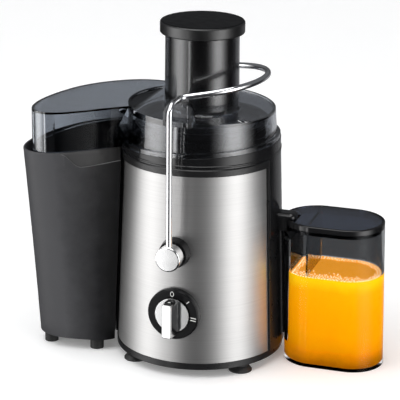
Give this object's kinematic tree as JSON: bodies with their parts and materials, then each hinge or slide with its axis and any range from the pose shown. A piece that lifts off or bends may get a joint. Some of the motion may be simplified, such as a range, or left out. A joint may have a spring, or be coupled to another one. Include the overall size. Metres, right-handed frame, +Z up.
{
  "type": "centrifugal juicer",
  "caption": "Countertop centrifugal juicer with a steel-clad motor base, clear lid and feed chute, locking bail, speed knob, pulp bin and lidded juice jug.",
  "frame": {"origin": "centre of the bounding box on the surface it stands on", "axes": "+Z up, -Y towards the front with the speed knob, +X towards the spout and the jug, -X towards the pulp bin"},
  "size_m": [0.3446, 0.202, 0.3344],
  "materials": {
    "black_plastic": "satin, finely textured",
    "black_gloss": "gloss",
    "bin_plastic": "matt, fine spark-eroded grain",
    "rubber": "matt",
    "brushed_steel": "brushed round the body",
    "chrome": "polished",
    "zinc_screw": "zinc plated",
    "lamination": "laminated",
    "copper_wire": "enamelled",
    "bearing_bronze": "sintered",
    "carbon": "matt",
    "smoke_clear": "smoked clear plastic"
  },
  "bodies": {
    "base": {"base_plate": "black_plastic", "base_feet": "rubber", "base_screws": "zinc_screw", "motor_housing": "black_plastic", "steel_wrap": "brushed_steel", "top_collar": "black_plastic", "cord_gland": "rubber", "stator_core": "lamination", "field_coils": "copper_wire", "lower_bracket": "black_plastic", "upper_bracket": "black_plastic", "motor_bolts": "zinc_screw", "motor_dampers": "rubber", "motor_bearings": "bearing_bronze", "brush_holders": "bearing_bronze", "carbon_brushes": "carbon", "shaft_seal": "rubber", "speed_switch": "black_plastic", "safety_switch": "black_plastic", "juice_collector": "black_gloss", "juice_spout": "black_gloss", "lid": "smoke_clear", "bail_bushes": "black_gloss", "bail_pins": "zinc_screw", "knob_bezel": "black_gloss"},
    "rotor": {"motor_shaft": "zinc_screw", "armature_core": "lamination", "armature_windings": "copper_wire", "commutator": "copper_wire", "cooling_fan": "black_plastic", "drive_coupling": "black_plastic", "basket_frame": "black_plastic", "filter_mesh": "brushed_steel", "grater_disc": "brushed_steel"},
    "bail": {"bail_wire": "chrome", "bail_hubs": "chrome"},
    "knob": {"knob_shaft": "black_plastic", "speed_knob": "chrome", "knob_pointer": "black_gloss"},
    "pusher": {"pusher_body": "black_gloss", "pusher_cap": "black_plastic"},
    "pulp_bin": {"pulp_bin": "bin_plastic", "bin_feet": "rubber"},
    "jug": {"jug_body": "smoke_clear", "jug_handle": "black_gloss"},
    "jug_lid": {"jug_lid_rim": "black_gloss", "jug_lid": "smoke_clear", "jug_lid_seal": "rubber", "foam_separator": "smoke_clear"}
  },
  "joints": [
    {"name": "rotor_spin", "type": "hinge", "parent": "base", "child": "rotor", "pos_m": [-0.01128, 0, 0.1], "axis": [0, 0, 1], "continuous": true},
    {"name": "bail_swing", "type": "hinge", "parent": "base", "child": "bail", "pos_m": [-0.01128, 0, 0.126], "axis": [0, 1, 0], "range_deg": [0, 45]},
    {"name": "knob_turn", "type": "hinge", "parent": "base", "child": "knob", "pos_m": [-0.01128, -0.08, 0.065], "axis": [0, 1, 0], "range_deg": [0, 90]},
    {"name": "pusher_lift", "type": "slide", "parent": "base", "child": "pusher", "axis": [0, 0, 1], "range_m": [0, 0.09]},
    {"name": "bin_pull", "type": "slide", "parent": "base", "child": "pulp_bin", "axis": [-1, 0, 0], "range_m": [0, 0.12]},
    {"name": "jug_pull", "type": "slide", "parent": "base", "child": "jug", "axis": [1, 0, 0], "range_m": [0, 0.12]},
    {"name": "jug_lid_lift", "type": "slide", "parent": "jug", "child": "jug_lid", "axis": [0, 0, 1], "range_m": [0, 0.12]}
  ]
}
